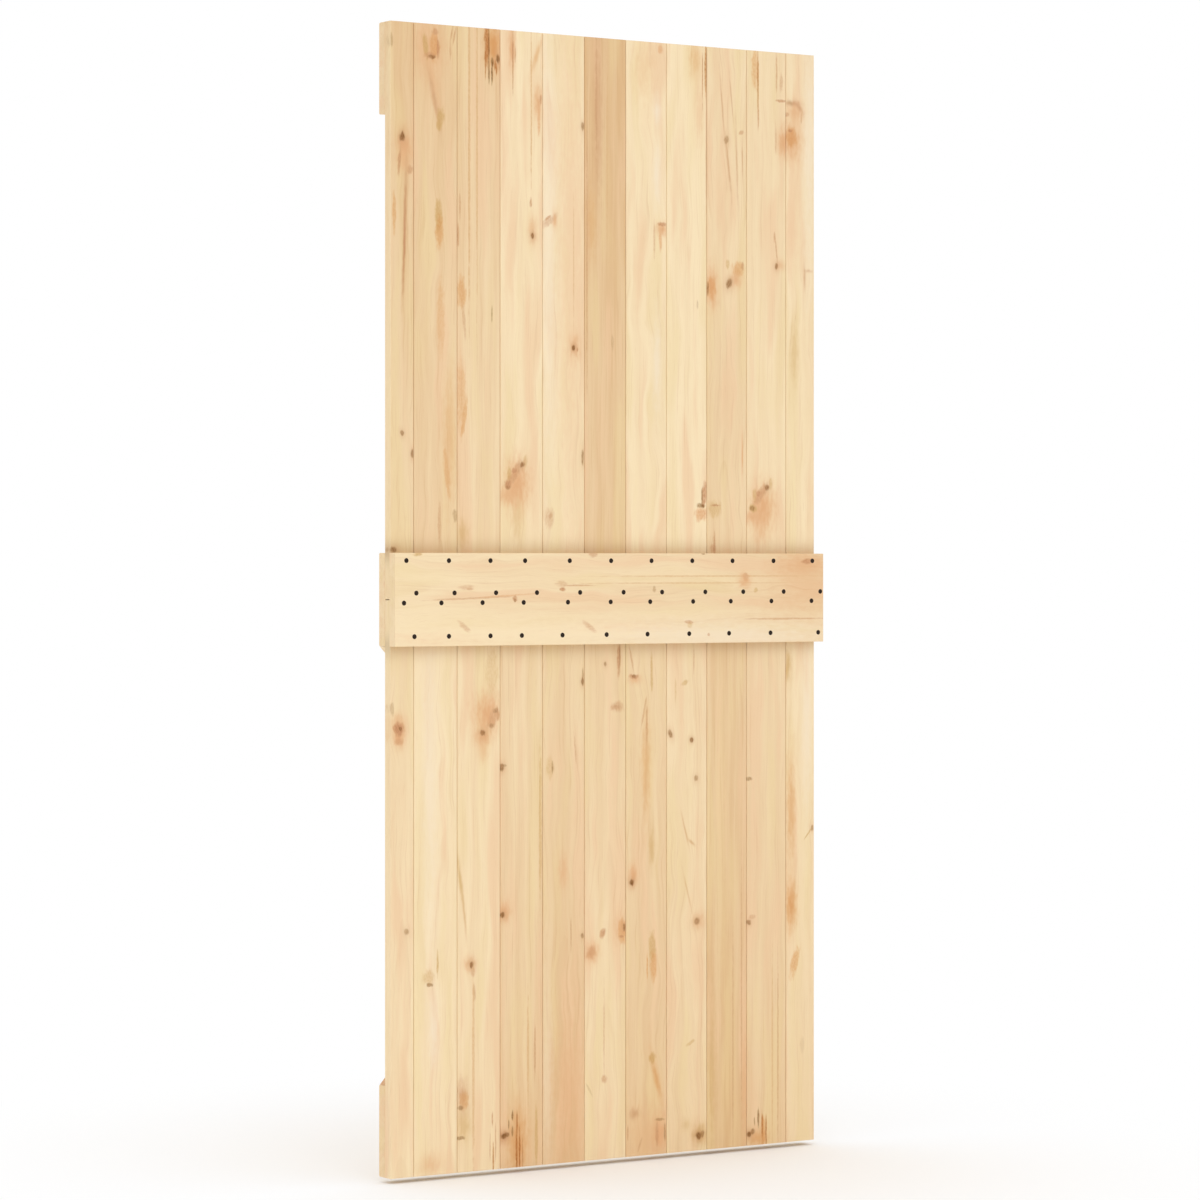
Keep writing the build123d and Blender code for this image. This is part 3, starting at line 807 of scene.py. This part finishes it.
def screw_tree():
    """Puts a head on every point, tipped to face out, then spun at random, as plain mesh."""
    tree = bpy.data.node_groups.new("screw_rows", "GeometryNodeTree")
    inputs = {"Points": "Geometry", "Head": "Object", "Facing": "Float", "Finish": "Material", "Seed": "Int"}
    for label, kind in inputs.items():
        tree.interface.new_socket(label, in_out="INPUT", socket_type="NodeSocket" + kind)
    tree.interface.new_socket("Screws", in_out="OUTPUT", socket_type="NodeSocketGeometry")
    given = tree.nodes.new("NodeGroupInput").outputs
    head = tree.nodes.new("GeometryNodeObjectInfo")
    spin = tree.nodes.new("FunctionNodeRandomValue")
    turn = tree.nodes.new("ShaderNodeCombineXYZ")
    spread = tree.nodes.new("GeometryNodeInstanceOnPoints")
    plain = tree.nodes.new("GeometryNodeRealizeInstances")
    finish = tree.nodes.new("GeometryNodeSetMaterial")
    end = tree.nodes.new("NodeGroupOutput")
    link = tree.links.new
    link(given["Head"], head.inputs["Object"])
    link(given["Seed"], spin.inputs["Seed"])
    link(given["Facing"], turn.inputs["X"])
    link(calc(tree, "MULTIPLY", spin.outputs[1], math.pi), turn.inputs["Y"])
    link(given["Points"], spread.inputs["Points"])
    link(head.outputs["Geometry"], spread.inputs["Instance"])
    link(turn.outputs[0], spread.inputs["Rotation"])
    link(spread.outputs[0], plain.inputs["Geometry"])
    link(plain.outputs[0], finish.inputs["Geometry"])
    link(given["Finish"], finish.inputs["Material"])
    link(finish.outputs[0], end.inputs["Screws"])
    return tree


head = screw_head()
bpy.context.scene.collection.objects.link(head)
screw_rows = screw_tree()
blackened = screw_material()
FACING_BACK = math.pi / 2
FACING_FRONT = -math.pi / 2
BACK_SEED = 3
FRONT_SEED = 8


def drive_screws(name, places, facing, seed):
    """Sets screws at points given in metres, as one piece that goes with the door."""
    points = bpy.data.meshes.new(name + "_points")
    points.from_pydata(places, [], [])
    maker = bpy.data.objects.new(name + "_maker", points)
    bpy.context.scene.collection.objects.link(maker)
    modifier = maker.modifiers.new("screws", "NODES")
    modifier.node_group = screw_rows
    sockets = {item.name: item.identifier for item in screw_rows.interface.items_tree}
    modifier[sockets["Head"]] = head
    modifier[sockets["Facing"]] = facing
    modifier[sockets["Finish"]] = blackened
    modifier[sockets["Seed"]] = seed
    made = maker.evaluated_get(bpy.context.evaluated_depsgraph_get())
    mesh = bpy.data.meshes.new_from_object(made)
    bpy.data.objects.remove(maker)
    screws = bpy.data.objects.new(name, mesh)
    bpy.context.scene.collection.objects.link(screws)
    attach(screws, "root")


def on_door(across, up, face):
    """A point on a face of the door, from millimetres across and up from its lower left corner."""
    return (door_low.x + across) * MM, face, (door_low.z + up) * MM


back_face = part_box("back_middle_batten")[0].y
# How far across each screw of the back batten sits, by the height of its row.
back_rows = {
    1121: (22, 112, 201, 276, 374, 466, 557, 650, 743, 839, 931),
    1062: (43, 124, 213, 302, 397, 494, 581, 680, 768, 863, 950),
    1044: (17, 96, 184, 273, 370, 465, 554, 652, 739, 834, 929),
    983: (39, 112, 201, 269, 358, 456, 548, 643, 735, 832, 945),
}
back_places = [on_door(across, up, back_face) for up, row in back_rows.items() for across in row]
drive_screws("back_batten_screws", back_places, FACING_BACK, BACK_SEED)

# The front's screws come one to a board in two rows on each end batten, and in pairs along the braces.
front_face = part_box("front_top_batten")[1].y
ROW_INSET = 42.0
BOARD_STEP = 92.6
STEPS_IN_A_ROW = 10
FIRST_SCREW = 20.0
UPPER_ROW_SHIFT = 12.0
front_places = []
for batten in ("front_top_batten", "front_bottom_batten"):
    low, high = (corner / MM - door_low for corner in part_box(batten))
    for up, shift in ((low.z + ROW_INSET, 0.0), (high.z - ROW_INSET, UPPER_ROW_SHIFT)):
        for step in range(STEPS_IN_A_ROW):
            front_places.append(on_door(FIRST_SCREW + shift + step * BOARD_STEP, up, front_face))
        front_places.append(on_door(high.x - FIRST_SCREW - shift, up, front_face))
BRACE_STEP = 126.0
WHOLE_BRACE_STEPS = (-3.5, -2.5, -1.5, -0.5, 0.5, 1.5, 2.5, 3.5)
HALF_BRACE_STEPS = (-3.5, -2.5, -1.5, 1.5, 2.5, 3.5)
for rise, steps in ((1, WHOLE_BRACE_STEPS), (-1, HALF_BRACE_STEPS)):
    along, across = brace_axes(rise)
    for step in steps:
        for side in (-1, 1):
            spot = (field_middle + along * step * BRACE_STEP + across * side * ROW_INSET) * MM
            front_places.append((spot.x, front_face, spot.z))
drive_screws("front_screws", front_places, FACING_FRONT, FRONT_SEED)
bpy.data.objects.remove(head)

# Stage
# A pale floor just under the hung door, a soft white surround that is brightest overhead with one
# broad lamp in front, and the camera level at about chest height, to the left of the door's back.
FLOOR_CLEARANCE = 10.0
FLOOR_HALF = 9.0
FLOOR_GREY = (0.93, 0.93, 0.93, 1.0)
WHITE_STARTS = 0.5
WHITE_FULL = 1.5


def seen_as_white(tree):
    """1 for what the camera sees, straight or in a gloss, and 0 for the light on the door."""
    rays = tree.nodes.new("ShaderNodeLightPath").outputs
    return calc(tree, "MAXIMUM", rays["Is Camera Ray"], rays["Is Glossy Ray"])


def floor_material():
    """A pale floor that keeps the door's shadow and turns plain white away from it."""
    material = bpy.data.materials.new("pale_floor")
    material.use_nodes = True
    tree = material.node_tree
    shader = tree.nodes["Principled BSDF"]
    shader.inputs["Base Color"].default_value = FLOOR_GREY
    shader.inputs["Roughness"].default_value = 0.9
    shader.inputs["Specular IOR Level"].default_value = 0.0
    coordinates = tree.nodes.new("ShaderNodeTexCoord")
    flat = vector(tree, "MULTIPLY", coordinates.outputs["Object"], (1.0, 1.0, 0.0))
    away = fade(tree, length_of(tree, flat), WHITE_STARTS, WHITE_FULL)
    share = calc(tree, "MULTIPLY", away, seen_as_white(tree))
    white = tree.nodes.new("ShaderNodeEmission")
    blend = add(tree, "ShaderNodeMixShader", share, shader.outputs[0], white.outputs[0])
    tree.links.new(blend, tree.nodes["Material Output"].inputs["Surface"])
    return material


floor_level = (door_low.z - FLOOR_CLEARANCE) * MM
floor_corners = ((-1, -1), (1, -1), (1, 1), (-1, 1))
floor_mesh = bpy.data.meshes.new("floor")
floor_mesh.from_pydata(
    [(x * FLOOR_HALF, y * FLOOR_HALF, floor_level) for x, y in floor_corners], [], [(0, 1, 2, 3)])
floor = bpy.data.objects.new("floor", floor_mesh)
floor.data.materials.append(floor_material())
bpy.context.scene.collection.objects.link(floor)
floor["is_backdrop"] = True

SURROUND_LOW = 0.66
SURROUND_OVERHEAD = 0.76
world = bpy.data.worlds.new("studio")
bpy.context.scene.world = world
world.use_nodes = True
air = world.node_tree
height = dot(air, air.nodes.new("ShaderNodeTexCoord").outputs["Generated"], UP)
overhead = calc(air, "MULTIPLY", calc(air, "MULTIPLY", height, height), SURROUND_OVERHEAD)
level = calc(air, "ADD", overhead, SURROUND_LOW)
level = add(air, "ShaderNodeMix", seen_as_white(air), None, level, 1.0)
air.nodes["Background"].inputs["Color"].default_value = (1.0, 1.0, 1.0, 1.0)
air.links.new(level, air.nodes["Background"].inputs["Strength"])

LAMP_SIZE = 4.0
LAMP_POWER = 40.0
LAMP_PLACE = Vector((-2.6, -5.6, 1.4))
lamp = bpy.data.lights.new("soft_lamp", "AREA")
lamp.size = LAMP_SIZE
lamp.energy = LAMP_POWER
lamp_object = bpy.data.objects.new("soft_lamp", lamp)
lamp_object.location = LAMP_PLACE
lamp_object.rotation_mode = "QUATERNION"
door_middle = (cad_low + cad_high) / 2
lamp_object.rotation_quaternion = (door_middle - LAMP_PLACE).to_track_quat("-Z", "Y")
bpy.context.scene.collection.objects.link(lamp_object)

PHOTO_WIDTH = 1200
FOCAL_PIXELS = 4164
HORIZON_ROW = 565
CAMERA_TURN = math.radians(-33.2)
CAMERA_ACROSS = -4289.6
CAMERA_BACK = 6523.4
CAMERA_HEIGHT = 1113.0
boards_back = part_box("upper_board_01")[0].y / MM
camera = bpy.data.cameras.new("camera")
camera.sensor_width = 36.0
camera.lens = camera.sensor_width * FOCAL_PIXELS / PHOTO_WIDTH
camera.shift_y = HORIZON_ROW / PHOTO_WIDTH - 0.5
camera.clip_end = 100.0
camera_object = bpy.data.objects.new("camera", camera)
camera_place = (CAMERA_ACROSS, boards_back - CAMERA_BACK, door_low.z + CAMERA_HEIGHT)
camera_object.location = [part * MM for part in camera_place]
camera_object.rotation_euler = (math.pi / 2, 0.0, CAMERA_TURN)
bpy.context.scene.collection.objects.link(camera_object)
bpy.context.scene.camera = camera_object
bpy.context.scene.view_settings.view_transform = "Standard"

low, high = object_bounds()
